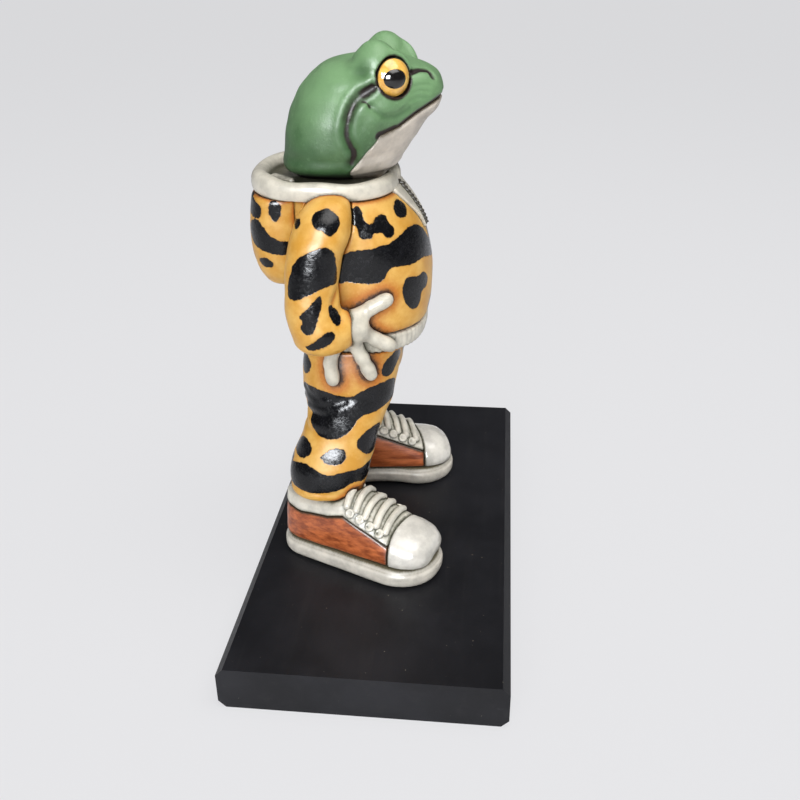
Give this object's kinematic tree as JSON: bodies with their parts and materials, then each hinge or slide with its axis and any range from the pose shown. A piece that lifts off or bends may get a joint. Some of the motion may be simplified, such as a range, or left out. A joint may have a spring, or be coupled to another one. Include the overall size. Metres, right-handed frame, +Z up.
{
  "type": "frog figurine",
  "caption": "Standing frog figurine in a spotted hooded tracksuit and laced shoes, hands on hips, screwed to a flat black wooden board for display.",
  "frame": {"origin": "centre of the board's underside", "axes": "+Z up; the frog faces -Y, so its right side is at -X; +X runs along the board's long side"},
  "size_m": [0.15, 0.075, 0.1552],
  "materials": {
    "black_board": "satin black paint on wood, faint scuffs",
    "screw_steel": "plain steel",
    "sole_white": "off-white glaze with a dark wash in the grooves",
    "shoe_orange": "streaked orange-brown glaze",
    "toe_white": "glossy white glaze",
    "lace_white": "off-white glaze with a dark wash",
    "print_trousers": "ochre glaze with black spots and bands",
    "print_jacket": "ochre glaze with black spots and bands",
    "trim_white": "off-white glaze, grey-green in the folds",
    "zip_dark": "dark brown line",
    "hand_white": "off-white glaze outlined with a dark wash",
    "frog_green": "matte green glaze, darker below",
    "throat_white": "satin off-white glaze",
    "eye_yellow": "glossy yellow glaze",
    "pupil_black": "glossy black glaze"
  },
  "bodies": {
    "root": {"base_board": "black_board", "mounting_screws": "screw_steel", "right_shoe_sole": "sole_white", "left_shoe_sole": "sole_white", "right_shoe_quarter": "shoe_orange", "left_shoe_quarter": "shoe_orange", "right_toe_cap": "toe_white", "left_toe_cap": "toe_white", "right_lace_stay": "lace_white", "left_lace_stay": "lace_white", "right_laces": "lace_white", "left_laces": "lace_white", "right_eyelets": "lace_white", "left_eyelets": "lace_white", "right_trouser_leg": "print_trousers", "left_trouser_leg": "print_trousers", "right_sleeve": "print_jacket", "left_sleeve": "print_jacket", "right_hand": "hand_white", "left_hand": "hand_white", "right_eye": "eye_yellow", "left_eye": "eye_yellow", "right_pupil": "pupil_black", "left_pupil": "pupil_black", "trouser_seat": "print_trousers", "jacket_hem_band": "trim_white", "jacket_body": "print_jacket", "front_placket": "trim_white", "zip_strip": "zip_dark", "hood_pouch": "print_jacket", "hood_lining": "trim_white", "head": "frog_green", "throat": "throat_white"}
  },
  "joints": []
}
